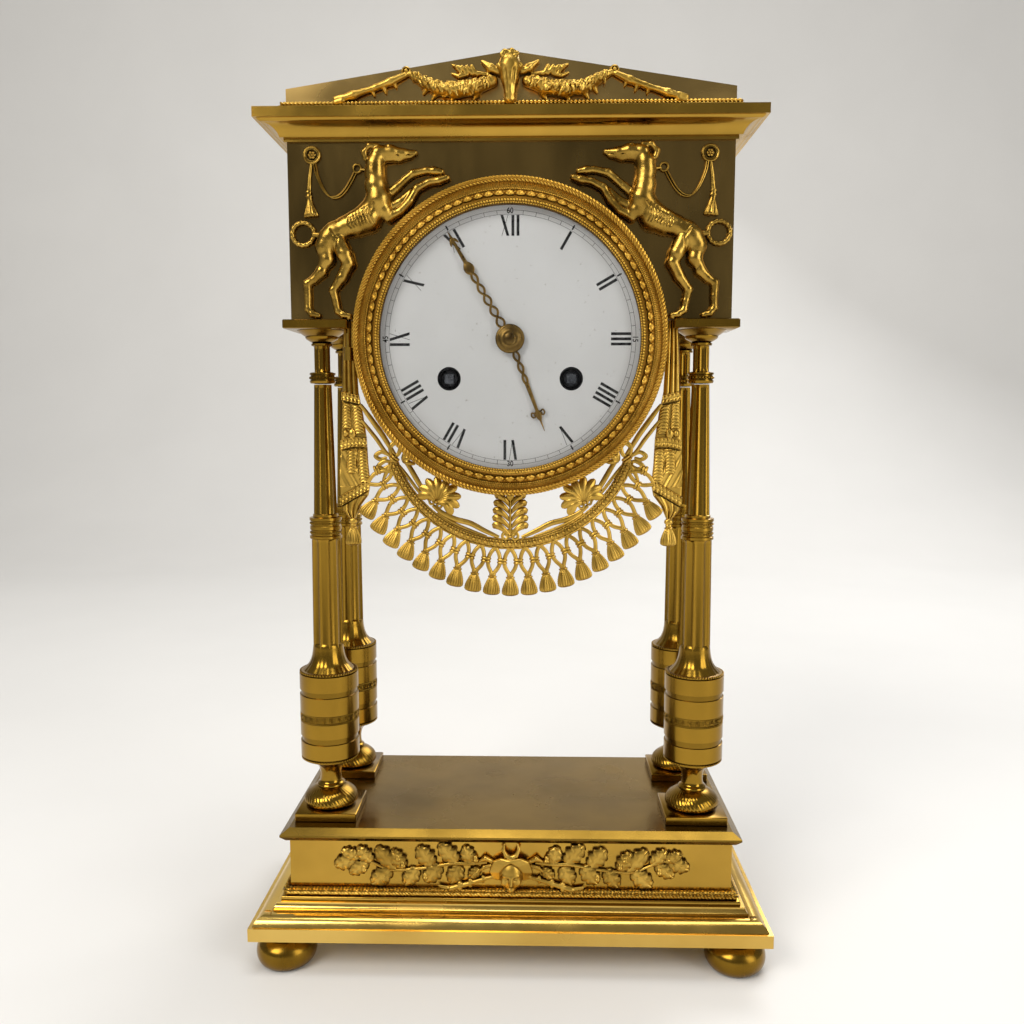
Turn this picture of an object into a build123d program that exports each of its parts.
from build123d import *

import os
from math import acos, asin, atan2, cos, degrees, hypot, pi, radians, sin, sqrt

# Portico mantel clock: a drum movement hung in an entablature on four columns.
# Millimetres. X runs to the right, Y to the rear and Z up, from the middle of the base's underside.

# Gaps
running_gap = 0.08
seat_gap = 0.3
overrun = 1.0

# Sides of small turned pieces, and points of a blunt end
small_sides = 8
turned_sides = 16
end_facets = 2

# Base
base_width = 210.0
base_depth = 110.0
foot_radius = 12.3
foot_height = 14.5
foot_inset = 12.5
plinth_height = 11.9
plinth_rim = 26.0
plinth_overhang = 14.3
frieze_height = 24.8
frieze_wall = 3.0
rope_width = 3.3
rope_height = 5.2
top_overhang = 3.4
top_height = 5.0
frieze_mount_relief = 4.2

# Columns
column_spacing = 154.0
column_depth_spacing = 46.0
column_plinth_width = 25.6
column_plinth_height = 3.6
bun_radius = 11.1
bun_height = 8.2
stem_radius = 4.9
stem_height = 8.5
pedestal_radius = 12.2
pedestal_height = 40.0
flare_height = 7.5
lower_shaft_radius = 6.3
lower_shaft_height = 50.2
collar_radius = 6.3
collar_height = 8.8
upper_shaft_radius = 4.9
upper_shaft_height = 54.6
shaft_taper_share = 0.82
flute_count = 10
flute_land_share = 0.2
flute_root_share = 0.86
ring_radius = 5.4
ring_height = 4.9
neck_radius = 3.3
neck_height = 9.3
echinus_radius = 9.6
echinus_height = 7.2
abacus_width = 25.5
abacus_height = 3.5

# Entablature, cornice and pediment
entablature_width = 174.0
entablature_depth = 64.0
entablature_height = 68.0
case_wall = 2.6
cornice_overhang = 10.5
cornice_height = 10.5
cornice_shell = 3.0
pediment_rope_width = 2.6
pediment_rope_height = 4.4
pediment_end_height = 9.5
pediment_rise = 13.5
pediment_wall = 3.0
pediment_mount_relief = 4.8
hound_height = 64.0
hound_relief = 6.0

# Drum, dial and bezel
dial_drop = 7.7
dial_radius = 56.6
dial_edge_gap = 0.4
drum_wall = 1.5
drum_radius = dial_radius + dial_edge_gap + drum_wall
drum_flange_width = 2.0
drum_flange_radius = drum_radius + drum_flange_width
drum_flange_thickness = 2.2
dial_thickness = 1.6
dial_setback = 0.6
dial_centre_hole_radius = 3.3
winding_hole_radius = 4.65
winding_spacing = 48.4
winding_drop = 15.5
bezel_overhang = 1.3
bezel_radius = drum_flange_radius + bezel_overhang
bezel_width = 10.6
bezel_opening_radius = bezel_radius - bezel_width
bezel_thickness = 5.5
glass_thickness = 1.2
glass_sides = 48
glass_rise = 1.8
glass_bevel = 7.0
glass_setback = 3.3
hinge_length = 10.8
hinge_drop = 3.2
knuckle_radius = 1.5
hinge_pin_radius = 0.7
hinge_reach = 1.9
rear_ring_width = 4.0
rear_ring_thickness = 2.5
door_overlap = 1.5
door_radius = drum_radius + door_overlap
door_thickness = 1.5
door_rim_width = 3.4
door_knob_radius = 3.0
lug_length = 6.0
lug_width = 6.4

# Festoon and drapes
festoon_thickness = 2.3
rail_radius = drum_radius
rail_width = 3.2
rail_drop = 25.0
fringe_spread = 9.5
fringe_radius = rail_radius + fringe_spread
fringe_drop = 35.8
tassel_count = 18
tassel_step_deg = 6.6
tassel_length = 8.6
tassel_top_radius = 1.2
tassel_foot_radius = 3.0
lattice_bar_width = 1.5
palmette_width = 12.0
palmette_height = 18.0
drape_length = 78.0
drape_thickness = 2.6

# Hands
minute_hand_margin = 8.9
minute_hand_length = dial_radius - minute_hand_margin
hour_hand_share = 0.81
hour_hand_length = hour_hand_share * minute_hand_length
hand_thickness = 0.5
hand_dial_gap = 1.3
hand_boss_radius = 5.7
hour_pipe_radius = 2.6
hour_hand_deg = 159.2
minute_hand_deg = 329.4

# Movement
plate_margin = 9.6
plate_radius = dial_radius - plate_margin
plate_thickness = 2.0
plate_gap = 24.0
dial_room = 6.0
pillar_radius = 2.6
pillar_inset = 4.0
pillar_circle = plate_radius - pillar_inset
pillar_degs = (40.0, 140.0, 270.0)
dial_foot_radius = 1.3
dial_foot_inset = 6.0
dial_foot_circle = plate_radius - dial_foot_inset
dial_foot_degs = (70.0, 250.0)
barrel_teeth = 32
barrel_module = 1.12
barrel_body_radius = 16.5
barrel_body_length = 13.0
barrel_rim_thickness = 2.0
barrel_pinion_leaves = 8
winding_arbor_radius = 2.4
winding_square = 3.6
winding_tip_gap = 0.6
ratchet_radius = 6.0
ratchet_thickness = 1.5
ratchet_teeth = 12
intermediate_teeth = 40
intermediate_module = 0.75
centre_pinion_leaves = 8
centre_teeth = 40
centre_module = 0.72
third_pinion_leaves = 8
third_teeth = 40
third_module = 0.58
escape_pinion_leaves = 8
escape_teeth = 24
escape_radius = 9.0
escape_rise = 24.0
anchor_rise = 40.0
anchor_thickness = 1.4
pallet_gap = 1.3
cannon_leaves = 8
minute_teeth = 24
minute_module = 0.75
minute_pinion_leaves = 8
hour_teeth = 32
wheel_thickness = 1.3
arbor_radius = 1.5
thin_arbor_radius = 1.0
pivot_radius = 0.7
strike_pinion_deg = 105.0
strike_wheel_radius = 9.6
lifting_teeth = 12
count_wheel_radius = 11.5
bell_radius = 30.0
bell_sides = 24
bell_depth = 16.0
bell_wall = 1.5
bell_x = 9.0
bell_z = 2.0
bell_post_radius = 1.8
hammer_x = -22.0
hammer_z = -38.0
hammer_head_radius = 3.0
hammer_head_length = 6.0
hammer_arm_radius = 1.3
strike_gap = 0.8
pendulum_length = 78.0
pendulum_rod_radius = 0.9
bob_radius = 11.0
bob_thickness = 6.0
pendulum_set_back = 7.5
cock_width = 22.0
cock_height = 8.0
cock_thickness = 2.0
cock_leg = 3.0
crutch_length = 20.0
crutch_width = 2.4
crutch_thickness = 1.4

# Shares of the piece that each shape belongs to: across or out, up, and the bow of the side that ends there
foot_shares = ((0.0, 0.0, 0), (0.55, 0.0, 0), (0.9, 0.25, 0), (1.0, 0.6, 0), (0.88, 1.0, 0), (0.0, 1.0, 0))
plinth_shares = ((0.0, 0.0, 0), (0.0, 0.45, 0), (0.1, 0.45, 0), (0.58, 0.72, -0.22), (0.58, 0.82, 0),
                 (0.66, 1.0, 0.12))
rope_shares = ((0.3, 0.0, 0), (0.3, 1.0, -0.48))
top_shares = ((0.6, 0.0, 0), (0.0, 0.42, 0), (0.0, 0.58, 0), (0.95, 1.0, 0))
cornice_shares = ((0.9, 0.0, 0), (0.9, 0.13, 0), (0.78, 0.13, 0), (0.3, 0.55, 0.16), (0.12, 0.64, -0.2),
                  (0.0, 0.64, 0), (0.0, 1.0, 0))
pediment_rope_shares = ((0.0, 0.0, 0), (0.0, 0.62, 0), (0.35, 0.62, 0), (0.35, 1.0, -0.48))
bun_shares = ((0.9, 0.0, 0), (1.0, 0.4, 0), (0.55, 1.0, 0))
stem_shares = ((0.9, 0.15, 0), (1.1, 1.0, 0))
flare_shares = ((1.6, 0.16, 0), (1.12, 0.5, 0), (1.0, 1.0, 0))
pedestal_shares = ((0.82, 0.0, 0), (1.0, 0.08, 0), (1.0, 0.25, 0), (0.96, 0.25, 0), (0.96, 0.72, 0),
                   (1.0, 0.72, 0), (1.0, 1.0, 0))
capital_shares = ((0.6, 0.32, 0), (1.0, 0.82, 0), (1.0, 1.0, 0))
bezel_shares = ((1.0, 0.0, 0), (1.0, 0.45, 0), (0.82, 0.6, 0), (0.56, 1.0, 0), (0.44, 0.84, 0),
                (0.0, 0.78, 0), (0.0, 0.0, 0))

# Hound in shares of its height, from the case's lower corner: two ends with their radii, then the relief
hound_shares = (
    ((0.585, 0.985, 0.045), (0.62, 0.98, 0.036), 1.0),
    ((0.61, 0.985, 0.032), (0.80, 0.985, 0.022), 1.0),
    ((0.585, 0.975, 0.04), (0.565, 0.87, 0.05), 1.0),
    ((0.565, 0.88, 0.045), (0.575, 0.76, 0.078), 1.0),
    ((0.58, 0.76, 0.075), (0.51, 0.62, 0.085), 1.0),
    ((0.53, 0.66, 0.085), (0.38, 0.555, 0.07), 1.0),
    ((0.38, 0.555, 0.07), (0.27, 0.525, 0.075), 1.0),
    ((0.63, 0.76, 0.03), (0.79, 0.87, 0.018), 0.6),
    ((0.79, 0.87, 0.018), (0.955, 0.895, 0.016), 0.6),
    ((0.62, 0.68, 0.042), (0.665, 0.62, 0.028), 0.8),
    ((0.665, 0.62, 0.028), (0.82, 0.79, 0.02), 0.8),
    ((0.82, 0.79, 0.02), (0.985, 0.83, 0.018), 0.8),
    ((0.26, 0.52, 0.07), (0.21, 0.35, 0.03), 0.8),
    ((0.21, 0.35, 0.03), (0.125, 0.225, 0.02), 0.8),
    ((0.125, 0.225, 0.02), (0.13, 0.07, 0.017), 0.8),
    ((0.13, 0.06, 0.02), (0.185, 0.022, 0.02), 0.8),
    ((0.33, 0.51, 0.055), (0.41, 0.355, 0.042), 0.6),
    ((0.41, 0.355, 0.04), (0.27, 0.17, 0.022), 0.6),
    ((0.27, 0.17, 0.022), (0.31, 0.055, 0.018), 0.6),
    ((0.31, 0.05, 0.02), (0.365, 0.022, 0.02), 0.6),
)
hound_ring_shares = (0.122, 0.522, 0.068, 0.016, 0.3)
strap_ring_shares = (0.182, 0.99, 0.05, 0.014, 0.3)
strap_shares = (
    ((0.175, 0.93, 0.012), (0.155, 0.76, 0.012), 0.3),
    ((0.155, 0.76, 0.014), (0.165, 0.68, 0.022), 0.3),
    ((0.165, 0.67, 0.012), (0.165, 0.62, 0.026), 0.3),
    ((0.19, 0.94, 0.01), (0.24, 0.79, 0.01), 0.3),
    ((0.24, 0.79, 0.01), (0.31, 0.73, 0.01), 0.3),
    ((0.31, 0.73, 0.01), (0.38, 0.77, 0.01), 0.3),
    ((0.38, 0.77, 0.01), (0.45, 0.88, 0.01), 0.3),
    ((0.45, 0.88, 0.02), (0.53, 0.9, 0.01), 0.3),
)

# Pediment mount in shares of half the entablature's width, from the gable's foot, one side of it
pediment_mount_shares = (
    ((0.0, 0.155, 0.05), (0.0, 0.045, 0.028), 1.0),
    ((0.0, 0.19, 0.04), (0.03, 0.2, 0.02), 0.8),
    ((0.04, 0.15, 0.012), (0.12, 0.175, 0.006), 0.6),
    ((0.05, 0.08, 0.022), (0.16, 0.055, 0.04), 0.75),
    ((0.16, 0.058, 0.042), (0.3, 0.05, 0.036), 0.75),
    ((0.3, 0.06, 0.036), (0.4, 0.13, 0.016), 0.65),
    ((0.35, 0.05, 0.02), (0.43, 0.13, 0.012), 0.5),
    ((0.45, 0.145, 0.024), (0.46, 0.145, 0.022), 0.7),
    ((0.47, 0.13, 0.014), (0.56, 0.05, 0.022), 0.5),
    ((0.48, 0.14, 0.016), (0.62, 0.08, 0.02), 0.6),
    ((0.62, 0.08, 0.018), (0.73, 0.045, 0.018), 0.6),
    ((0.73, 0.045, 0.02), (0.775, 0.035, 0.026), 0.65),
    ((0.1, 0.125, 0.012), (0.2, 0.155, 0.024), 0.55),
    ((0.19, 0.13, 0.018), (0.25, 0.16, 0.008), 0.5),
)

# Frieze mount in shares of the frieze's height from its foot, one side of it
frieze_mount_shares = (
    ((0.0, 0.56, 0.235), (0.0, 0.28, 0.14), 1.0),
    ((0.2, 0.66, 0.1), (0.3, 0.42, 0.07), 0.75),
    ((0.1, 0.78, 0.08), (0.13, 0.92, 0.03), 0.75),
    ((0.3, 0.44, 0.07), (0.88, 0.27, 0.05), 0.6),
    ((0.4, 0.5, 0.03), (1.6, 0.62, 0.03), 0.4),
    ((1.6, 0.62, 0.03), (2.85, 0.52, 0.025), 0.4),
)
oak_leaf_shares = ((0.0, 0.04), (0.34, 0.3), (0.5, 0.16), (0.76, 0.34), (1.06, 0.0))
palmette_shares = ((0.0, 0.08), (0.2, 0.32), (0.34, 0.14), (0.46, 0.36), (0.6, 0.14), (0.76, 0.26),
                   (1.0, 0.0))
oak_spray_shares = ((0.6, 0.52, 58, 0.36), (0.85, 0.54, -52, 0.36), (1.15, 0.57, 62, 0.34),
                    (1.4, 0.59, -44, 0.4), (1.7, 0.61, 55, 0.34), (1.95, 0.59, -55, 0.36),
                    (2.2, 0.57, 48, 0.36), (2.5, 0.55, -38, 0.36), (2.6, 0.54, 30, 0.32))

# Drape in shares of its length below the case: outward from its inner edge at the top, and down
drape_shares = ((0.0, 0.0), (0.115, 0.0), (0.125, 0.35), (0.13, 0.7), (0.14, 0.86), (0.1, 1.0), (0.03, 1.0),
                (-0.02, 0.88), (0.0, 0.7), (-0.03, 0.62), (0.0, 0.35))
drape_tassel_shares = ((0.07, 0.97, 0.022), (0.075, 1.13, 0.05))


# Heights, from the bottom up
plinth_z = foot_height
frieze_z = plinth_z + plinth_height
top_z = frieze_z + frieze_height
column_z = top_z + top_height
bun_z = column_z + column_plinth_height
stem_z = bun_z + bun_height
pedestal_z = stem_z + stem_height
flare_z = pedestal_z + pedestal_height
shaft_z = flare_z + flare_height
collar_z = shaft_z + lower_shaft_height
upper_shaft_z = collar_z + collar_height
ring_z = upper_shaft_z + upper_shaft_height
neck_z = ring_z + ring_height
echinus_z = neck_z + neck_height
abacus_z = echinus_z + echinus_height
case_z = abacus_z + abacus_height
cornice_z = case_z + entablature_height
pediment_z = cornice_z + cornice_height
dial_z = case_z - dial_drop

# Half widths
base_x = base_width / 2
base_y = base_depth / 2
frieze_x = base_x - plinth_overhang
frieze_y = base_y - plinth_overhang
case_x = entablature_width / 2
case_y = entablature_depth / 2
column_x = column_spacing / 2
column_y = column_depth_spacing / 2

# Depths, from the front back
flange_y = -case_y - drum_flange_thickness
dial_y = flange_y + dial_setback
dial_back_y = dial_y + dial_thickness
bezel_back_y = flange_y - seat_gap
front_plate_y = dial_back_y + dial_room
train_y = front_plate_y + plate_thickness
back_plate_y = train_y + plate_gap
movement_back_y = back_plate_y + plate_thickness
hour_hand_y = dial_y - hand_dial_gap
minute_hand_y = hour_hand_y - hand_thickness - seat_gap
hand_tip_y = minute_hand_y - 3 * hand_thickness
ring_back_y = case_y + rear_ring_thickness
door_y = ring_back_y + seat_gap
door_back_y = door_y + door_thickness


def edge(start, end, bow=0):
    """Line between two points, or an arc that bows to the left of travel by a share of the chord."""
    if bow == 0:
        return Line(start, end)
    chord = Vector(*end) - Vector(*start)
    middle = Vector(*start) + chord * 0.5 + Vector(-chord.Y, chord.X) * bow
    return ThreePointArc(start, middle, end)


def outline(points):
    """Face bounded by (x, y, bow) points, where the bow bends the side that ends at the point."""
    sides = []
    before = points[-1]
    for point in points:
        sides.append(edge(before[:2], point[:2], point[2] if len(point) > 2 else 0))
        before = point
    return make_face(sides)


def scaled(shares, width, height, across=0.0, up=0.0):
    """Profile points from a table of shares of a width and a height."""
    return [(across + width * share[0], up + height * share[1], share[2]) for share in shares]


def turned_y(points, x=0.0, z=0.0):
    """Solid turned about an axis along Y from a (radius, y) profile."""
    return Pos(x, 0, z) * revolve(outline(points), Axis.Y)


def skinned(rings):
    """Solid with flat sides between rings of points, closed by a face over the first and the last."""
    faces = [make_face(Polyline(*ring, close=True)) for ring in (rings[0], rings[-1])]
    for low, high in zip(rings, rings[1:]):
        for here, there in zip(range(-1, len(low) - 1), range(len(low))):
            faces.append(make_face(Polyline(low[here], low[there], high[there], high[here], close=True)))
    return Part() + Solid(Shell([face.face() for face in faces]))


def faceted(points, sides=turned_sides):
    """Many-sided piece about the Z axis from a (radius, height) profile."""
    angles = [2 * pi * side / sides for side in range(sides)]
    return skinned([[(point[0] * cos(angle), point[0] * sin(angle), point[1]) for angle in angles]
                    for point in points if point[0] > 0])


def faceted_y(points, x, z, sides=small_sides):
    """Many-sided piece about an axis along Y from a (radius, y) profile that goes back."""
    return Pos(x, 0, z) * Rot(-90, 0, 0) * faceted(points, sides)


def round_y(x, z, radius, front, back):
    """Round bar along Y."""
    return Pos(x, (front + back) / 2, z) * Rot(90, 0, 0) * Cylinder(radius, back - front)


def rod_y(x, z, radius, front, back):
    """Thin bar along Y, its corners on a circle."""
    return raised(Pos(x, z) * RegularPolygon(radius, small_sides), back, back - front)


def bore_y(x, z, radius, front, back):
    """Way for a thin bar along Y, its flats on a circle."""
    return raised(Pos(x, z) * RegularPolygon(radius, small_sides, major_radius=False), back, back - front)


def rod_z(x, y, radius, low, high):
    """Thin upright bar, its corners on a circle."""
    return Pos(x, y, low) * extrude(RegularPolygon(radius, small_sides), high - low)


def block(low, high):
    """Box between two corners."""
    size = [b - a for a, b in zip(low, high)]
    middle = [(a + b) / 2 for a, b in zip(low, high)]
    return Pos(*middle) * Box(*size)


def raised(face, back, relief):
    """Solid raised towards the front from a face drawn in X and Z."""
    return extrude(Plane((0, back, 0), x_dir=(1, 0, 0), z_dir=(0, -1, 0)) * face, relief)


def moulding_face(half, bottom, steps):
    """Closed profile, the same on both sides, from (inset, height, bow) steps going up."""
    right = [(half - inset, bottom + height, bow) for inset, height, bow in steps]
    left = [(-x, z, above[2]) for (x, z, _), above in zip(reversed(right[:-1]), reversed(right[1:]))]
    return outline([(right[0][0], right[0][1], 0)] + right[1:] + [(-right[-1][0], right[-1][1], 0)] + left)


def moulded_block(half_x, half_y, bottom, steps):
    """Block whose four sides carry one moulding, mitred at the corners."""
    across = raised(moulding_face(half_x, bottom, steps), half_y, 2 * half_y)
    side_plane = Plane((-half_x, 0, 0), x_dir=(0, 1, 0), z_dir=(1, 0, 0))
    along = extrude(side_plane * moulding_face(half_y, bottom, steps), 2 * half_x)
    return across & along


def limb(start, start_radius, end, end_radius):
    """Tapering flat limb: two blunt ends and the lines that touch both."""
    dx, dz = end[0] - start[0], end[1] - start[1]
    length = hypot(dx, dz)
    heading = atan2(dz, dx)
    lean = acos(max(-1, min(1, (start_radius - end_radius) / length)))
    points = []
    for middle, radius, first, sweep in ((start, start_radius, heading + lean, 2 * (pi - lean)),
                                         (end, end_radius, heading - lean, 2 * lean)):
        for step in range(end_facets + 1):
            angle = first + sweep * step / end_facets
            points.append((middle[0] + radius * cos(angle), middle[1] + radius * sin(angle)))
    return outline(points)


def bar(start, end, width):
    """Straight flat bar between two points."""
    dx, dz = end[0] - start[0], end[1] - start[1]
    length = hypot(dx, dz)
    across = (-dz / length * width / 2, dx / length * width / 2)
    corners = ((start, 1), (start, -1), (end, -1), (end, 1))
    return outline([(point[0] + side * across[0], point[1] + side * across[1]) for point, side in corners])


def leaf(shares, x, z, lean, length):
    """Leaf from one half of its outline in shares of its length, mirrored about its midrib."""
    half = [(a * length, b * length) for a, b in shares]
    points = half + [(a, -b) for a, b in reversed(half) if b > 0]
    return Pos(x, z) * Rot(0, 0, lean) * outline(points)


def placed_limb(row, unit, origin, side):
    """Limb from a row of shares, on the left (-1) or the right (1)."""
    (x0, z0, r0), (x1, z1, r1) = row[0], row[1]
    start = (side * (origin[0] + x0 * unit), origin[1] + z0 * unit)
    end = (side * (origin[0] + x1 * unit), origin[1] + z1 * unit)
    return limb(start, r0 * unit, end, r1 * unit)


def flat_ring(x, z, radius, half_width):
    """Flat ring in X and Z."""
    return Pos(x, z) * (Circle(radius + half_width) - Circle(radius - half_width))


def layered(faces, back, relief):
    """One solid from (face, share of the relief) pairs that all stand on the same back plane."""
    by_share = {}
    for face, share in faces:
        by_share.setdefault(share, []).append(face)
    layers = [raised(Sketch() + group, back, share * relief) for share, group in by_share.items()]
    return Part() + layers


# Teeth, in shares of the module and of the tooth pitch
addendum_share = 0.8
dedendum_share = 1.5
tooth_tip_share = 0.06
hub_share = 0.24
rim_share = 0.8
spoke_share = 0.2


def toothed(teeth, module, facing, gap_faces=False):
    """Toothed disc; a tooth, or a gap, is centred on the facing angle in degrees from X towards Z."""
    pitch = 360 / teeth
    root = module * (teeth / 2 - dedendum_share)
    tip = module * (teeth / 2 + addendum_share)
    first = facing + (pitch / 2 if gap_faces else 0)
    points = []
    for tooth in range(teeth):
        middle = first + tooth * pitch
        for radius, share in ((tip, -tooth_tip_share), (tip, tooth_tip_share), (root, 0.5)):
            angle = radians(middle + share * pitch)
            points.append((radius * cos(angle), radius * sin(angle)))
    return outline(points)


def saw_toothed(teeth, tip, root, lean_share):
    """Disc with pointed teeth that lean one way, as on an escape wheel or a ratchet."""
    points = []
    for tooth in range(teeth):
        for radius, share in ((root, 0.0), (tip, lean_share)):
            angle = 2 * pi * (tooth + share) / teeth
            points.append((radius * cos(angle), radius * sin(angle)))
    return outline(points)


def crossed(disc, root, spokes):
    """Wheel disc crossed out between its rim and its hub."""
    near, far = root * hub_share, root * rim_share
    half = pi / spokes - spoke_share
    corners = ((near, -half), (far, -half), (far, half), (near, half))
    window = outline([(reach * cos(angle), reach * sin(angle)) for reach, angle in corners])
    return disc - [Rot(0, 0, 360 * spoke / spokes) * window for spoke in range(spokes)]


def wheel(x, z, face, front, thickness):
    """Flat wheel from a face drawn about its own centre."""
    return Pos(x, 0, z) * raised(face, front + thickness, thickness)


def spread(*radii):
    """Distance between the centres of two meshing wheels, from (module, teeth) pairs."""
    return sum(module * teeth / 2 for module, teeth in radii)


def bearing_deg(start, end):
    """Angle of the line from start to end, from X towards Z."""
    return degrees(atan2(end[1] - start[1], end[0] - start[0]))


def third_corner(a, b, from_a, from_b, side):
    """Point at the given distances from a and b, to the left (1) or right (-1) of the line a to b."""
    gap = hypot(b[0] - a[0], b[1] - a[1])
    turn = acos((from_a ** 2 + gap ** 2 - from_b ** 2) / (2 * from_a * gap))
    angle = radians(bearing_deg(a, b)) + side * turn
    return (a[0] + from_a * cos(angle), a[1] + from_a * sin(angle))


# Places of the arbors in X and Z
centre = (0.0, dial_z)
going_at = (winding_spacing / 2, dial_z - winding_drop)
strike_at = (-winding_spacing / 2, dial_z - winding_drop)
barrel_spread = spread((barrel_module, barrel_teeth), (barrel_module, barrel_pinion_leaves))
intermediate_spread = spread((intermediate_module, intermediate_teeth),
                             (intermediate_module, centre_pinion_leaves))
intermediate_at = third_corner(centre, going_at, intermediate_spread, barrel_spread, -1)
third_spread = spread((centre_module, centre_teeth), (centre_module, third_pinion_leaves))
escape_spread = spread((third_module, third_teeth), (third_module, escape_pinion_leaves))
escape_at = (0.0, dial_z + escape_rise)
third_at = third_corner(centre, escape_at, third_spread, escape_spread, -1)
anchor_at = (0.0, dial_z + anchor_rise)
minute_spread = spread((minute_module, cannon_leaves), (minute_module, minute_teeth))
hour_module = 2 * minute_spread / (hour_teeth + minute_pinion_leaves)
minute_at = (0.0, dial_z + minute_spread)
strike_wheel_at = (strike_at[0] + barrel_spread * cos(radians(strike_pinion_deg)),
                   strike_at[1] + barrel_spread * sin(radians(strike_pinion_deg)))
hammer_at = (hammer_x, dial_z + hammer_z)
bell_at = (bell_x, dial_z + bell_z)

# Layers of the movement along Y
cannon_y = front_plate_y - 0.6 * dial_room
motion_wheel_thickness = 0.2 * dial_room
hour_wheel_y = cannon_y - motion_wheel_thickness - seat_gap
ratchet_y = front_plate_y - seat_gap - ratchet_thickness
barrel_y = train_y + overrun
barrel_rim_y = barrel_y + barrel_body_length
barrel_mesh_y = barrel_rim_y - overrun
barrel_mesh_length = barrel_rim_thickness + 2 * overrun
centre_wheel_y = back_plate_y - 2 * wheel_thickness
intermediate_wheel_y = centre_wheel_y - 2 * wheel_thickness
escape_wheel_y = intermediate_wheel_y - wheel_thickness
third_wheel_y = escape_wheel_y - 4 * wheel_thickness
anchor_y = escape_wheel_y - (anchor_thickness - wheel_thickness) / 2
arbor_front_y = train_y + seat_gap
arbor_back_y = back_plate_y - seat_gap
pendulum_y = movement_back_y + pendulum_set_back
cock_y = movement_back_y + crutch_thickness + 2 * seat_gap
bell_mouth_y = pendulum_y + bob_thickness / 2 + 2 * overrun
nodes = {}


def foot(x, y):
    """Turned bun foot."""
    return Pos(x, y, 0) * faceted(scaled(foot_shares, foot_radius, foot_height))


def base_parts():
    """Feet, hollow plinth, frieze walls, rope strip and the plate that the columns stand on."""
    foot_x, foot_y = base_x - foot_inset, base_y - foot_inset
    nodes["feet"] = Compound(children=[foot(x, y) for x in (-foot_x, foot_x) for y in (-foot_y, foot_y)])
    steps = [(plinth_overhang * a, plinth_height * b, bow) for a, b, bow in plinth_shares]
    plinth = moulded_block(base_x, base_y, plinth_z, steps)
    window = (base_x - plinth_rim, base_y - plinth_rim)
    nodes["base_plinth"] = plinth - block((-window[0], -window[1], plinth_z - overrun),
                                          (window[0], window[1], frieze_z + overrun))
    frieze_outer = block((-frieze_x, -frieze_y, frieze_z), (frieze_x, frieze_y, top_z))
    inner_x, inner_y = frieze_x - frieze_wall, frieze_y - frieze_wall
    nodes["base_frieze"] = frieze_outer - block((-inner_x, -inner_y, frieze_z - overrun),
                                                (inner_x, inner_y, top_z + overrun))
    steps = [(rope_width * a, rope_height * b, bow) for a, b, bow in rope_shares]
    rope = moulded_block(frieze_x + rope_width, frieze_y + rope_width, frieze_z, steps)
    nodes["base_rope"] = rope - frieze_outer
    steps = [(top_overhang * a, top_height * b, bow) for a, b, bow in top_shares]
    nodes["base_top"] = moulded_block(frieze_x + top_overhang, frieze_y + top_overhang, top_z, steps)


def frieze_mount():
    """Relief on the base's front: a mask under a crescent between two oak branches."""
    unit = frieze_height
    origin = (0.0, frieze_z + rope_height - 0.14 * unit)
    faces = []
    for side in (-1, 1):
        faces += [(placed_limb(row, unit, origin, side), row[2]) for row in frieze_mount_shares]
        for x, z, lean, length in oak_spray_shares:
            angle = lean if side > 0 else 180 - lean
            spray = leaf(oak_leaf_shares, side * x * unit, origin[1] + z * unit, angle, length * unit)
            faces.append((spray, 0.45))
    mount = layered(faces, -frieze_y, frieze_mount_relief)
    room = block((-frieze_x, -base_y, frieze_z + rope_height), (frieze_x, base_y, top_z))
    return mount & room


def column_base(x, y):
    """Square plinth, gadrooned bun, stem and banded drum in one piece."""
    profile = [(0, bun_z, 0)]
    profile += scaled(bun_shares, bun_radius, bun_height, 0, bun_z)
    profile += scaled(stem_shares, stem_radius, stem_height, 0, stem_z)
    profile += scaled(pedestal_shares, pedestal_radius, pedestal_height, 0, pedestal_z)
    profile += scaled(flare_shares, lower_shaft_radius, flare_height, 0, flare_z)
    half = column_plinth_width / 2
    return Pos(x, y, 0) * (faceted(profile) + block((-half, -half, column_z), (half, half, bun_z)))


def fluted(radius, low, high):
    """Tapering shaft with pointed flutes."""
    rings = []
    for size, height in ((radius, low), (shaft_taper_share * radius, high)):
        ring = []
        for flute in range(flute_count):
            for share, reach in ((-flute_land_share, 1), (flute_land_share, 1), (0.5, flute_root_share)):
                angle = 2 * pi * (flute + share) / flute_count
                ring.append((reach * size * cos(angle), reach * size * sin(angle), height))
        rings.append(ring)
    return skinned(rings)


def column_shaft(x, y):
    """Fluted shaft with a turned collar at mid height."""
    lower = fluted(lower_shaft_radius, shaft_z, collar_z)
    upper = fluted(upper_shaft_radius, upper_shaft_z, ring_z)
    collar = faceted([(collar_radius, collar_z), (collar_radius, upper_shaft_z)])
    return Pos(x, y, 0) * (lower + collar + upper)


def column_capital(x, y):
    """Beaded ring, neck, spreading capital and square abacus."""
    profile = [(0, ring_z, 0), (0.78 * ring_radius, ring_z, 0), (ring_radius, ring_z + 0.7 * ring_height, 0),
               (neck_radius, neck_z, 0), (neck_radius, echinus_z, 0)]
    profile += scaled(capital_shares, echinus_radius, echinus_height, 0, echinus_z)
    profile += [(0, abacus_z, 0)]
    half = abacus_width / 2
    return Pos(x, y, 0) * (faceted(profile) + block((-half, -half, abacus_z), (half, half, case_z)))


def column_parts():
    """The four columns, each of a base, a shaft and a capital."""
    places = [(x, y) for x in (-column_x, column_x) for y in (-column_y, column_y)]
    nodes["column_bases"] = Compound(children=[column_base(x, y) for x, y in places])
    nodes["column_shafts"] = Compound(children=[column_shaft(x, y) for x, y in places])
    nodes["column_capitals"] = Compound(children=[column_capital(x, y) for x, y in places])


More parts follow.
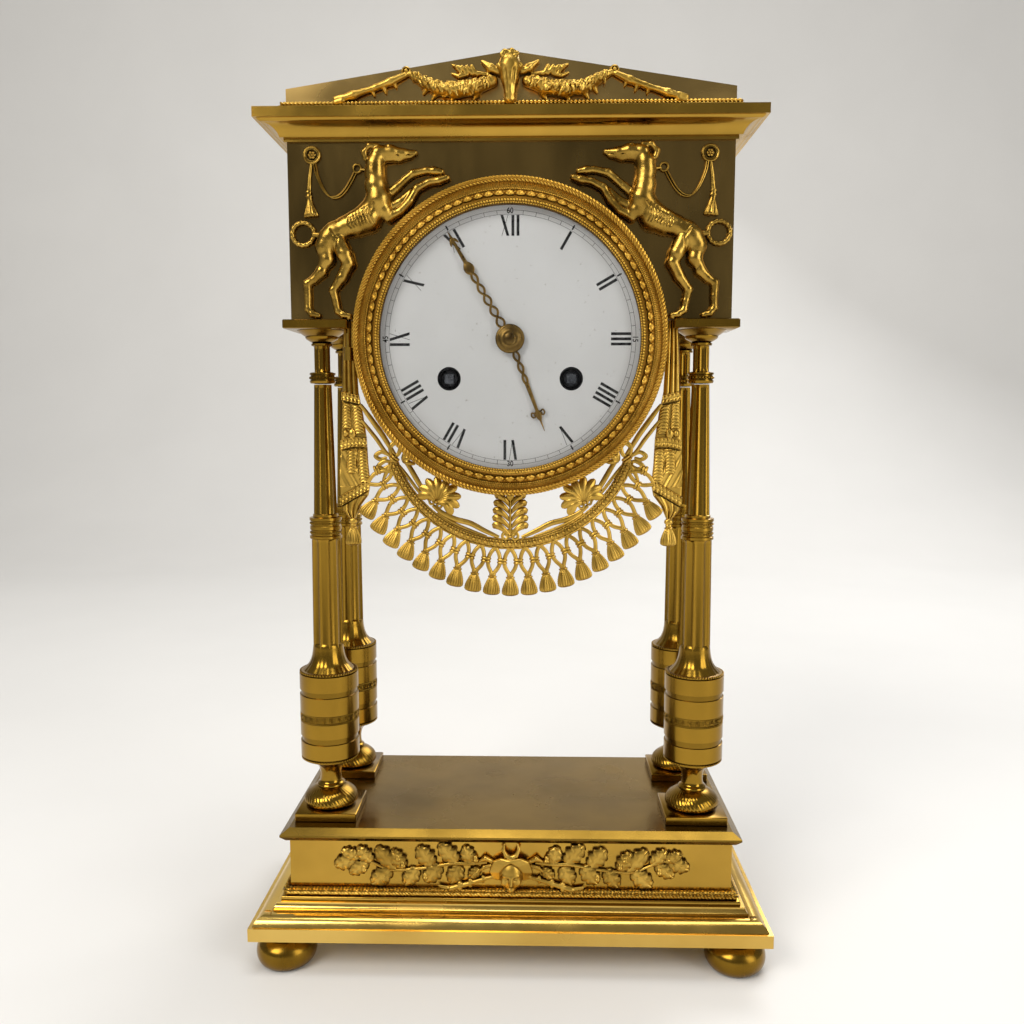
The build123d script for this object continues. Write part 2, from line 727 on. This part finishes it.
def entablature_case():
    """Open-topped case with a round way through it for the drum."""
    case = block((-case_x, -case_y, case_z), (case_x, case_y, cornice_z))
    case -= block((-case_x + case_wall, -case_y + case_wall, case_z + case_wall),
                  (case_x - case_wall, case_y - case_wall, cornice_z + overrun))
    return case - round_y(0, dial_z, drum_radius + running_gap, -case_y - overrun, case_y + overrun)


def cornice():
    """Moulded lid, hollow underneath."""
    steps = [(cornice_overhang * a, cornice_height * b, bow) for a, b, bow in cornice_shares]
    lid = moulded_block(case_x + cornice_overhang, case_y + cornice_overhang, cornice_z, steps)
    inner_x, inner_y = case_x - 2 * cornice_shell, case_y - 2 * cornice_shell
    return lid - block((-inner_x, -inner_y, cornice_z - overrun),
                       (inner_x, inner_y, pediment_z - cornice_shell))


def gable_face(half, low, end_height, rise):
    """Low gable outline in X and Z."""
    return outline([(-half, low), (half, low), (half, low + end_height), (0, low + end_height + rise),
                    (-half, low + end_height)])


def pediment():
    """Gabled block, hollow underneath."""
    body = raised(gable_face(case_x, pediment_z, pediment_end_height, pediment_rise), case_y, 2 * case_y)
    half = case_x - pediment_wall
    inner_rise = pediment_rise * half / case_x
    hollow = gable_face(half, pediment_z, pediment_end_height - pediment_wall, inner_rise)
    return body - raised(hollow, case_y - pediment_wall, 2 * (case_y - pediment_wall))


def pediment_rope():
    """Rope-edged strip round the pediment's foot."""
    steps = [(pediment_rope_width * a, pediment_rope_height * b, bow) for a, b, bow in pediment_rope_shares]
    strip = moulded_block(case_x + pediment_rope_width, case_y + pediment_rope_width, pediment_z, steps)
    return strip - block((-case_x, -case_y, pediment_z - overrun),
                         (case_x, case_y, pediment_z + pediment_rope_height + overrun))


def pediment_mount():
    """Relief on the gable: an ox head between swags, rosettes and trotters."""
    origin = (0.0, pediment_z + 0.42 * pediment_rope_height)
    faces = []
    for side in (-1, 1):
        faces += [(placed_limb(row, case_x, origin, side), row[2]) for row in pediment_mount_shares]
    mount = layered(faces, -case_y, pediment_mount_relief)
    return mount - block((-case_x, -base_y, cornice_z), (case_x, base_y, pediment_z + pediment_rope_height))


def hound(side):
    """Leaping hound in relief, with the ring of its tail, its leash and the hanging strap."""
    origin = (-case_x, case_z)
    faces = []
    for row in hound_shares + strap_shares:
        faces.append((placed_limb(row, hound_height, origin, -side), row[2]))
    for x, z, radius, half_width, share in (hound_ring_shares, strap_ring_shares):
        ring = flat_ring(-side * (origin[0] + x * hound_height), origin[1] + z * hound_height,
                         radius * hound_height, half_width * hound_height)
        faces.append((ring, share))
    relief = layered(faces, -case_y, hound_relief)
    relief -= round_y(0, dial_z, bezel_radius + 2 * seat_gap, -base_y, 0)
    return relief & block((-case_x, -base_y, case_z), (case_x, base_y, cornice_z))


def on_fringe(angle, up):
    """Point of the fringe at an angle from straight down and a height above its lower edge."""
    low = (fringe_radius * sin(angle), dial_z - fringe_drop - fringe_radius * cos(angle))
    lean = 0.32 * angle
    return (low[0] - up * sin(lean), low[1] + up * cos(lean))


def fringe_height(angle):
    """Height from the fringe's lower edge to the rail, along the hang of the threads."""
    x, z = on_fringe(angle, 0)
    lean = 0.32 * angle
    z -= dial_z - rail_drop
    reach = x * sin(lean) - z * cos(lean)
    return reach - sqrt(reach ** 2 - (x ** 2 + z ** 2 - rail_radius ** 2))


def festoon():
    """Rail, palmettes and stems over a lattice of threads that ends in tassels."""
    middle_z = dial_z - rail_drop
    end_angle = asin((drum_radius - rail_width / 2) / rail_radius)
    rail = Circle(rail_radius + rail_width / 2) - Circle(rail_radius - rail_width / 2)
    keep = Pos(0, -rail_radius) * Rectangle(2 * rail_radius * sin(end_angle),
                                            2 * rail_radius * (1 - cos(end_angle)))
    faces = [Pos(0, middle_z) * (rail & keep)]
    step = radians(tassel_step_deg)
    first = -(tassel_count - 1) / 2
    for index in range(tassel_count):
        angle = (first + index) * step
        top = on_fringe(angle, tassel_length)
        faces.append(limb(on_fringe(angle, tassel_foot_radius), tassel_foot_radius, top, tassel_top_radius))
        for side in (-1, 1):
            hook_angle = angle + side * step
            hook = on_fringe(hook_angle, fringe_height(hook_angle))
            faces.append(bar(top, hook, lattice_bar_width))
    foot_z = middle_z - rail_radius
    faces.append(leaf(palmette_shares, 0, foot_z, 90, palmette_height + rail_width))
    for side in (-1, 1):
        for lean_deg, height_share, tilt in ((36, 0.8, 14), (66, 0.5, 30)):
            lean = radians(lean_deg)
            root = (side * rail_radius * sin(lean), middle_z - rail_radius * cos(lean))
            faces.append(leaf(palmette_shares, *root, 90 + side * tilt, height_share * palmette_height))
        low = (side * 0.3 * palmette_width, foot_z + rail_width)
        knee = (side * 0.3 * rail_radius, foot_z + 2.4 * rail_width)
        high = (side * 0.5 * rail_radius, foot_z + 3.6 * rail_width)
        faces.append(bar(low, knee, lattice_bar_width))
        faces.append(bar(knee, high, lattice_bar_width))
    body = raised(Sketch() + faces, -case_y + festoon_thickness, festoon_thickness)
    drapes = [drape(side) for side in (-1, 1)]
    return body - round_y(0, dial_z, drum_radius, -base_y, base_y) - drapes


def drape(side):
    """Gathered drape under the case, ending in a tassel."""
    inner = drum_radius + 4 * seat_gap
    points = [(side * (inner + a * drape_length), case_z - b * drape_length) for a, b in drape_shares]
    tail = [(inner + a * drape_length, case_z - b * drape_length, r * drape_length)
            for a, b, r in drape_tassel_shares]
    tassel = limb((side * tail[0][0], tail[0][1]), tail[0][2], (side * tail[1][0], tail[1][1]), tail[1][2])
    body = raised(Sketch() + [outline(points), tassel], -case_y + drape_thickness, drape_thickness)
    room = abacus_width / 2 + seat_gap
    low_x, high_x = sorted((side * (column_x - room), side * base_x))
    body -= block((low_x, -base_y, abacus_z - seat_gap), (high_x, 0, cornice_z))
    return body - round_y(0, dial_z, drum_radius, -base_y, base_y)


def hinge_place(front):
    """Axis of a door's hinge, at the front or the rear."""
    depth = bezel_back_y - 3 * seat_gap - knuckle_radius if front else door_y + knuckle_radius
    return (-bezel_radius - hinge_reach, depth)


def hinge_block(place, part, root_x, low_y, high_y):
    """Half of a hinge's barrel and the cranked tongue that carries it; part 0 is the lower half."""
    half_length = hinge_length / 2
    low = dial_z - hinge_drop + (part - 1) * half_length + seat_gap / 2
    high = low + half_length - seat_gap
    barrel = rod_z(*place, knuckle_radius, low, high)
    half = knuckle_radius / 2
    crank = block((place[0] - half, min(place[1], low_y), low),
                  (place[0] + half, max(place[1], high_y), high))
    root = block((place[0] - half, low_y, low), (root_x, high_y, high))
    return barrel + crank + root, low, high


def fixed_leaf(front, root_x):
    """Lower half of the barrel, with the pin that stands in it."""
    place = hinge_place(front)
    depth = (flange_y, -case_y) if front else (case_y, ring_back_y)
    leaf_part, low, high = hinge_block(place, 0, root_x, *depth)
    pin_top = high + hinge_length / 2
    return leaf_part + rod_z(*place, hinge_pin_radius, low, pin_top)


def door_leaf(front, root_x):
    """Upper half of the barrel, bored for the pin."""
    place = hinge_place(front)
    half = knuckle_radius / 2
    leaf_part, low, high = hinge_block(place, 1, root_x, place[1] - half, place[1] + half)
    bore = RegularPolygon(hinge_pin_radius + running_gap, small_sides, major_radius=False)
    return leaf_part - Pos(*place, low - overrun) * extrude(bore, high - low + 2 * overrun)


def drum_case():
    """Tube with a front flange and two lugs that carry the movement."""
    bore = drum_radius - drum_wall
    tube = turned_y([(bore, flange_y), (drum_flange_radius, flange_y), (drum_flange_radius, -case_y),
                     (drum_radius, -case_y), (drum_radius, case_y), (bore, case_y)], 0, dial_z)
    for side in (-1, 1):
        near_x, far_x = sorted((side * (bore - lug_length), side * (bore + drum_wall / 2)))
        tube += block((near_x, dial_back_y + seat_gap, dial_z - lug_width / 2),
                      (far_x, front_plate_y, dial_z + lug_width / 2))
    return tube + fixed_leaf(True, -drum_flange_radius + hinge_reach)


def rear_ring():
    """Ring behind the case, over the end of the drum, with the back door's hinge."""
    bore = drum_radius - drum_wall
    outer = drum_radius + rear_ring_width / 2
    ring = turned_y([(bore, case_y, 0), (outer, case_y, 0), (outer, ring_back_y, 0), (bore, ring_back_y, 0)],
                    0, dial_z)
    return ring + fixed_leaf(False, -drum_radius)


def dial():
    """Enamelled dial with its centre hole, winding holes and two feet."""
    face = turned_y([(0, dial_y, 0), (dial_radius, dial_y, 0), (dial_radius, dial_back_y, 0),
                     (0, dial_back_y, 0)], 0, dial_z)
    face -= round_y(0, dial_z, dial_centre_hole_radius, dial_y - overrun, dial_back_y + overrun)
    for x, z in (going_at, strike_at):
        face -= round_y(x, z, winding_hole_radius, dial_y - overrun, dial_back_y + overrun)
    for deg in dial_foot_degs:
        x = dial_foot_circle * cos(radians(deg))
        z = dial_z + dial_foot_circle * sin(radians(deg))
        face += rod_y(x, z, dial_foot_radius, dial_back_y, front_plate_y + plate_thickness / 2)
    return face


def bezel():
    """Turned and chased bezel with a rebate for the glass, hinged on the left."""
    width = bezel_radius - bezel_opening_radius
    points = [(bezel_opening_radius + width * a, bezel_back_y - bezel_thickness * b, bow)
              for a, b, bow in bezel_shares]
    ring = turned_y(points, 0, dial_z)
    ring -= round_y(0, dial_z, glass_radius() + running_gap, bezel_back_y - glass_setback,
                    bezel_back_y + overrun)
    return ring + door_leaf(True, -bezel_radius + 2 * hinge_reach)


def glass_radius():
    """Radius of the glass, which sits in the bezel's rebate."""
    return bezel_opening_radius + (drum_flange_radius - bezel_opening_radius) / 6


def bezel_glass():
    """Glass with a broad bevel, held in the bezel's rebate from behind."""
    edge_y = bezel_back_y - glass_setback
    ring = bezel_opening_radius - running_gap
    back = edge_y + glass_thickness
    level = ring - glass_bevel
    points = [(level, edge_y - glass_rise), (ring, edge_y), (glass_radius(), edge_y), (glass_radius(), back),
              (ring - glass_thickness, back), (level - glass_thickness, back - glass_rise)]
    return faceted_y(points, 0, dial_z, glass_sides)


def hand_face(length, deg, scrolls):
    """Openwork hand: a chain of lozenge links from the boss to a pointed tip."""
    start = hand_boss_radius * (0.8 if scrolls else 1.0)
    faces = [RegularPolygon(start, turned_sides)]
    links = 4 if scrolls else 5
    pitch = 0.115 * length
    for link in range(links):
        low = start + (link - 0.12) * pitch
        half = pitch * (0.42 - 0.03 * link)
        for width in (-half, half):
            faces.append(bar((0, low), (width, low + 0.62 * pitch), 0.2 * pitch))
            faces.append(bar((width, low + 0.62 * pitch), (0, low + 1.24 * pitch), 0.2 * pitch))
    if scrolls:
        ring = RegularPolygon(0.045 * length, 8) - RegularPolygon(0.022 * length, 8)
        faces += [Pos(side * 0.05 * length, 0.82 * length) * ring for side in (-1, 1)]
    else:
        faces.append(Pos(0, 0.76 * length) * RegularPolygon(0.034 * length, 12))
    faces.append(limb((0, start + links * pitch), 0.03 * length, (0, 0.87 * length), 0.025 * length))
    faces.append(outline([(-0.035 * length, 0.86 * length), (0.035 * length, 0.86 * length), (0, length)]))
    return Pos(0, dial_z) * Rot(0, 0, -deg) * (Sketch() + faces)


def hands():
    """Hour and minute hands at the time they show at rest."""
    hour = raised(hand_face(hour_hand_length, hour_hand_deg, True), hour_hand_y, hand_thickness)
    hour -= bore_y(0, dial_z, hour_pipe_radius, hour_hand_y - overrun, hour_hand_y + overrun)
    minute = raised(hand_face(minute_hand_length, minute_hand_deg, False), minute_hand_y, hand_thickness)
    front = minute_hand_y - hand_thickness
    crown = minute_hand_y - 4 * hand_thickness
    hub = [(0.6 * hand_boss_radius, crown), (0.9 * hand_boss_radius, front)]
    minute += faceted_y(hub, 0, dial_z, turned_sides)
    minute -= rod_y(0, dial_z, arbor_radius, crown - overrun, minute_hand_y + overrun)
    return hour, minute


def back_door():
    """Round door with a raised rim and a knob, hinged on the same side as the bezel."""
    rim = door_radius
    edge_width = door_rim_width
    points = [(0, door_y, 0), (rim, door_y, 0), (rim, door_back_y + door_thickness, 0),
              (rim - edge_width, door_back_y + door_thickness, 0), (rim - 2 * edge_width, door_back_y, 0),
              (0, door_back_y, 0)]
    door = turned_y(points, 0, dial_z)
    knob = [(0.6 * door_knob_radius, door_y), (door_knob_radius, door_back_y + 2 * door_knob_radius)]
    door += faceted_y(knob, 0.86 * rim, dial_z)
    return door + door_leaf(False, -rim + 2 * hinge_reach)


def pivot_holes(plate, front, places):
    """Plate with a running hole at each (place, radius)."""
    for (x, z), radius in places:
        plate -= bore_y(x, z, radius + running_gap, front - overrun, front + plate_thickness + overrun)
    return plate


def plates():
    """Front and back plates of the movement and the pillars between them."""
    disc = [(0, 0, 0), (plate_radius, 0, 0), (plate_radius, plate_thickness, 0), (0, plate_thickness, 0)]
    common = [(intermediate_at, pivot_radius), (third_at, pivot_radius), (escape_at, pivot_radius),
              (going_at, winding_arbor_radius), (strike_at, winding_arbor_radius)]
    feet = [((dial_foot_circle * cos(radians(deg)), dial_z + dial_foot_circle * sin(radians(deg))),
             dial_foot_radius) for deg in dial_foot_degs]
    front = Pos(0, front_plate_y, 0) * turned_y(disc, 0, dial_z)
    front = pivot_holes(front, front_plate_y, common + feet + [
        (centre, arbor_radius), (anchor_at, pivot_radius), (strike_wheel_at, pivot_radius),
        (hammer_at, pivot_radius)])
    front += rod_y(minute_at[0], minute_at[1], thin_arbor_radius, hour_wheel_y, front_plate_y)
    for side in (-1, 1):
        near_x, far_x = sorted((side * 0.9 * plate_radius, side * (drum_radius - drum_wall - seat_gap)))
        front += block((near_x, front_plate_y, dial_z - lug_width / 2),
                       (far_x, train_y, dial_z + lug_width / 2))
    for x, z in (going_at, strike_at):
        front += click(x, z)
    back = Pos(0, back_plate_y, 0) * turned_y(disc, 0, dial_z)
    back = pivot_holes(back, back_plate_y, common + [
        (centre, pivot_radius), (anchor_at, thin_arbor_radius), (strike_wheel_at, thin_arbor_radius),
        (hammer_at, thin_arbor_radius)])
    pillars = []
    for deg in pillar_degs:
        x = pillar_circle * cos(radians(deg))
        z = dial_z + pillar_circle * sin(radians(deg))
        pillars.append(rod_y(x, z, pillar_radius, train_y, back_plate_y))
    nodes["front_plate"] = front
    nodes["back_plate"] = back
    nodes["plate_pillars"] = Compound(children=pillars)


def click(x, z):
    """Pawl on the front plate, its nose just clear of the ratchet's teeth."""
    reach = ratchet_radius + pivot_radius + seat_gap
    pivot = (x, z + reach + ratchet_radius / 2)
    nose = (x + 0.25 * ratchet_radius, z + reach)
    return raised(limb(pivot, 1.6 * pivot_radius, nose, pivot_radius), front_plate_y,
                  ratchet_thickness + seat_gap)


def winding_arbor(x, z):
    """Barrel arbor with its ratchet wheel and the square that takes the key."""
    tip_y = dial_y + winding_tip_gap
    square_y = ratchet_y - seat_gap
    half = winding_square / 2
    arbor = rod_y(x, z, winding_arbor_radius, square_y, movement_back_y)
    arbor += block((x - half, tip_y, z - half), (x + half, square_y, z + half))
    disc = saw_toothed(ratchet_teeth, ratchet_radius, 0.86 * ratchet_radius, 0.9)
    return arbor + wheel(x, z, disc, ratchet_y, ratchet_thickness)


def barrel(x, z, facing):
    """Spring barrel with a toothed rim at its rear end."""
    rim = wheel(x, z, toothed(barrel_teeth, barrel_module, facing), barrel_rim_y, barrel_rim_thickness)
    body = faceted_y([(barrel_body_radius, barrel_y), (barrel_body_radius, barrel_rim_y)], x, z, bell_sides)
    return body + rim - bore_y(x, z, winding_arbor_radius + running_gap, barrel_y - overrun,
                               barrel_rim_y + barrel_rim_thickness + overrun)


def arbor(place, radius, front, back, front_pivot, back_pivot):
    """Arbor between the plates with thinner pivots in them."""
    x, z = place
    return faceted_y([(pivot_radius, front_pivot), (pivot_radius, front), (radius, front), (radius, back),
                      (pivot_radius, back), (pivot_radius, back_pivot)], x, z)


def long_arbor(place, back):
    """Arbor that runs on through the back plate."""
    return faceted_y([(pivot_radius, front_plate_y + pivot_radius), (pivot_radius, arbor_front_y),
                      (thin_arbor_radius, arbor_front_y), (thin_arbor_radius, back)], *place)


def train_wheel(teeth, module, facing, place, front, spokes):
    """Crossed-out toothed wheel."""
    root = module * (teeth / 2 - dedendum_share)
    return wheel(*place, crossed(toothed(teeth, module, facing), root, spokes), front, wheel_thickness)


def going_train():
    """Intermediate, centre, third and escape wheels with their pinions, arbors and the anchor."""
    pivots = (front_plate_y + pivot_radius, movement_back_y - pivot_radius)
    to_barrel = bearing_deg(intermediate_at, going_at)
    piece = arbor(intermediate_at, thin_arbor_radius, arbor_front_y, arbor_back_y, *pivots)
    piece += wheel(*intermediate_at, toothed(barrel_pinion_leaves, barrel_module, to_barrel, True),
                   barrel_mesh_y, barrel_mesh_length)
    piece += train_wheel(intermediate_teeth, intermediate_module, bearing_deg(intermediate_at, centre),
                         intermediate_at, intermediate_wheel_y, 5)
    nodes["intermediate_wheel"] = piece
    nodes["going_barrel"] = barrel(*going_at, bearing_deg(going_at, intermediate_at))

    pinion_over = wheel_thickness / 2
    to_intermediate = bearing_deg(centre, intermediate_at)
    piece = faceted_y([(arbor_radius, hand_tip_y), (arbor_radius, arbor_back_y),
                       (pivot_radius, arbor_back_y), (pivot_radius, pivots[1])], *centre)
    piece += wheel(*centre, toothed(centre_pinion_leaves, intermediate_module, to_intermediate, True),
                   intermediate_wheel_y - pinion_over, 2 * wheel_thickness)
    to_third = bearing_deg(centre, third_at)
    piece += train_wheel(centre_teeth, centre_module, to_third, centre, centre_wheel_y, 5)
    piece += wheel(*centre, toothed(cannon_leaves, minute_module, bearing_deg(centre, minute_at)),
                   cannon_y, motion_wheel_thickness)
    nodes["centre_arbor"] = piece

    piece = arbor(third_at, thin_arbor_radius, arbor_front_y, arbor_back_y, *pivots)
    to_centre, to_escape = bearing_deg(third_at, centre), bearing_deg(third_at, escape_at)
    piece += wheel(*third_at, toothed(third_pinion_leaves, centre_module, to_centre, True),
                   centre_wheel_y - pinion_over, 2 * wheel_thickness)
    piece += train_wheel(third_teeth, third_module, to_escape, third_at, third_wheel_y, 4)
    nodes["third_wheel"] = piece

    piece = arbor(escape_at, thin_arbor_radius, arbor_front_y, arbor_back_y, *pivots)
    from_third = bearing_deg(escape_at, third_at)
    piece += wheel(*escape_at, toothed(escape_pinion_leaves, third_module, from_third, True),
                   third_wheel_y - pinion_over, 2 * wheel_thickness)
    disc = saw_toothed(escape_teeth, escape_radius, 0.84 * escape_radius, 0.15)
    piece += wheel(*escape_at, crossed(disc, 0.9 * escape_radius, 4), escape_wheel_y, wheel_thickness)
    nodes["escape_wheel"] = piece


def motion_work():
    """Minute wheel on its post and the hour wheel with its pipe."""
    x, z = minute_at
    piece = wheel(x, z, toothed(minute_teeth, minute_module, bearing_deg(minute_at, centre), True),
                  cannon_y, motion_wheel_thickness)
    piece += wheel(x, z, toothed(minute_pinion_leaves, hour_module, bearing_deg(minute_at, centre), True),
                   hour_wheel_y, cannon_y - hour_wheel_y)
    piece -= bore_y(x, z, thin_arbor_radius + running_gap, hour_wheel_y - overrun, front_plate_y)
    nodes["minute_wheel"] = piece
    piece = wheel(*centre, toothed(hour_teeth, hour_module, bearing_deg(centre, minute_at)),
                  hour_wheel_y, motion_wheel_thickness)
    piece += rod_y(*centre, hour_pipe_radius, hour_hand_y - hand_thickness, hour_wheel_y)
    piece -= bore_y(*centre, arbor_radius + running_gap, hour_hand_y - overrun, cannon_y)
    nodes["hour_wheel"] = piece


def anchor():
    """Anchor with two pallets, its arbor and the crutch behind the back plate."""
    x, z = anchor_at
    reach = escape_radius + pallet_gap + pivot_radius
    pallet_rise = escape_rise + reach * sin(radians(40))
    pallet_x = reach * cos(radians(40))
    faces = [Pos(x, z) * RegularPolygon(2 * thin_arbor_radius, small_sides)]
    for side in (-1, 1):
        shoulder = (side * 1.15 * pallet_x, (z + dial_z + pallet_rise) / 2)
        pallet = (side * pallet_x, dial_z + pallet_rise)
        faces.append(limb((x, z), 2 * thin_arbor_radius, shoulder, 1.4 * thin_arbor_radius))
        faces.append(limb(shoulder, 1.4 * thin_arbor_radius, pallet, pivot_radius))
    body = raised(Sketch() + faces, anchor_y + anchor_thickness, anchor_thickness)
    body += arbor(anchor_at, thin_arbor_radius, arbor_front_y, cock_y - seat_gap,
                  front_plate_y + pivot_radius, cock_y + cock_thickness / 2)
    crutch_y = movement_back_y + seat_gap
    foot_z = z - crutch_length
    half = crutch_width / 2
    body += block((x - half, crutch_y, foot_z), (x + half, crutch_y + crutch_thickness, z))
    prong_in = pendulum_rod_radius + seat_gap
    for side in (-1, 1):
        low_x, high_x = sorted((side * prong_in, side * (prong_in + crutch_thickness)))
        body += block((x + low_x, crutch_y, foot_z),
                      (x + high_x, pendulum_y + pendulum_rod_radius, foot_z + half))
    body += block((x - prong_in - crutch_thickness, crutch_y, foot_z),
                  (x + prong_in + crutch_thickness, crutch_y + crutch_thickness, foot_z + half))
    nodes["anchor"] = body


def suspension_cock():
    """Bridge on the back plate with the stud that the pendulum hangs from."""
    x, z = anchor_at
    half = cock_width / 2
    low, high = z - cock_height / 2, z + cock_height / 2
    cock = block((x - half, cock_y, low), (x + half, cock_y + cock_thickness, high))
    for side in (-1, 1):
        low_x, high_x = sorted((side * half, side * (half - cock_leg)))
        cock += block((x + low_x, movement_back_y, low), (x + high_x, cock_y, high))
    bore_back = cock_y + cock_thickness / 2 + running_gap
    cock -= bore_y(x, z, pivot_radius + running_gap, cock_y - overrun, bore_back)
    return cock + rod_y(x, z, thin_arbor_radius, cock_y + cock_thickness, pendulum_y + 3 * thin_arbor_radius)


def pendulum():
    """Pendulum with its eye, rod, lens-shaped bob and rating nut."""
    x, z = anchor_at
    half_eye = 2 * thin_arbor_radius
    eye = rod_y(x, z, 2.6 * thin_arbor_radius, pendulum_y - half_eye, pendulum_y + half_eye)
    bottom = z - pendulum_length - bob_radius - 2 * thin_arbor_radius
    rod = rod_z(x, pendulum_y, pendulum_rod_radius, bottom, z)
    half = bob_thickness / 2
    bob = faceted_y([(0.5 * bob_radius, pendulum_y - half), (bob_radius, pendulum_y),
                     (0.5 * bob_radius, pendulum_y + half)], x, z - pendulum_length, turned_sides)
    nut = rod_z(x, pendulum_y, 2.2 * thin_arbor_radius, bottom, bottom + 2 * thin_arbor_radius)
    hole = bore_y(x, z, thin_arbor_radius + running_gap, pendulum_y - 4 * overrun, pendulum_y + 4 * overrun)
    return eye + rod + bob + nut - hole


def bell_and_post():
    """Domed bell with its mouth towards the movement, on a post from the back plate."""
    x, z = bell_at
    crown = bell_mouth_y + bell_depth
    shoulder = bell_mouth_y + 0.62 * bell_depth
    dome = [(bell_radius, bell_mouth_y), (0.84 * bell_radius, shoulder), (0.3 * bell_radius, crown)]
    hollow = [(bell_radius - bell_wall, bell_mouth_y),
              (0.84 * bell_radius - bell_wall, shoulder - bell_wall / 2),
              (0.3 * bell_radius, crown - bell_wall)]
    bell = faceted_y(dome, x, z, bell_sides) - faceted_y(hollow, x, z, bell_sides)
    bell -= rod_y(x, z, bell_post_radius, bell_mouth_y, crown + overrun)
    post = faceted_y([(bell_post_radius, movement_back_y), (bell_post_radius, crown),
                      (1.7 * bell_post_radius, crown), (1.7 * bell_post_radius, crown + bell_wall)], x, z)
    return Compound(children=[bell, post])


def strike_parts():
    """Strike barrel, its wheel with the count wheel, and the hammer."""
    nodes["strike_barrel"] = barrel(*strike_at, bearing_deg(strike_at, strike_wheel_at))
    x, z = strike_wheel_at
    count_y = movement_back_y + seat_gap
    piece = long_arbor(strike_wheel_at, count_y + 2 * wheel_thickness)
    to_barrel = bearing_deg(strike_wheel_at, strike_at)
    piece += wheel(x, z, toothed(barrel_pinion_leaves, barrel_module, to_barrel, True),
                   barrel_mesh_y, barrel_mesh_length)
    star = saw_toothed(lifting_teeth, strike_wheel_radius, 0.8 * strike_wheel_radius, 0.2)
    piece += wheel(x, z, star, intermediate_wheel_y, wheel_thickness)
    disc = Sketch() + RegularPolygon(count_wheel_radius, bell_sides)
    strokes = 0
    for hour in range(1, 13):
        strokes += hour + 1
        notch = Pos(count_wheel_radius, 0) * Rectangle(0.24 * count_wheel_radius, 0.1 * count_wheel_radius)
        disc -= Rot(0, 0, 360 * strokes / 90) * notch
    piece += wheel(x, z, disc, count_y, wheel_thickness)
    nodes["strike_wheel"] = piece

    hx, hz = hammer_at
    reach = bell_radius + strike_gap + hammer_head_length / 2
    away = hypot(bell_at[0] - hx, bell_at[1] - hz)
    swing = third_corner(hammer_at, bell_at, sqrt(away ** 2 - reach ** 2), reach, 1)
    heading = bearing_deg(bell_at, swing)
    arm_y = bell_mouth_y + 2 * hammer_arm_radius
    shank = raised(limb((hx, hz), 1.6 * hammer_arm_radius, swing, hammer_arm_radius),
                   arm_y + hammer_arm_radius, 2 * hammer_arm_radius)
    head = rod_z(0, 0, hammer_head_radius, -hammer_head_length / 2, hammer_head_length / 2)
    head = Pos(swing[0], arm_y, swing[1]) * Rot(0, 90 - heading, 0) * head
    piece = long_arbor(hammer_at, arm_y + hammer_arm_radius)
    nodes["hammer"] = piece + shank + head


base_parts()
nodes["frieze_mount"] = frieze_mount()
column_parts()
nodes["entablature_case"] = entablature_case()
nodes["cornice"] = cornice()
nodes["pediment"] = pediment()
nodes["pediment_rope"] = pediment_rope()
nodes["pediment_mount"] = pediment_mount()
nodes["hound_left"] = hound(-1)
nodes["hound_right"] = hound(1)
nodes["festoon"] = festoon()
nodes["side_drapes"] = Compound(children=[drape(-1), drape(1)])
nodes["drum_case"] = drum_case()
nodes["rear_ring"] = rear_ring()
nodes["dial"] = dial()
nodes["bezel"] = bezel()
nodes["bezel_glass"] = bezel_glass()
nodes["back_door"] = back_door()
nodes["hour_hand"], nodes["minute_hand"] = hands()
plates()
going_train()
motion_work()
anchor()
nodes["suspension_cock"] = suspension_cock()
nodes["pendulum"] = pendulum()
nodes["bell"] = bell_and_post()
strike_parts()
nodes["going_arbor"] = winding_arbor(*going_at)
nodes["strike_arbor"] = winding_arbor(*strike_at)

os.makedirs("parts", exist_ok=True)
for name, shape in nodes.items():
    export_step(shape, "parts/" + name + ".step")
print(len(nodes), "nodes")
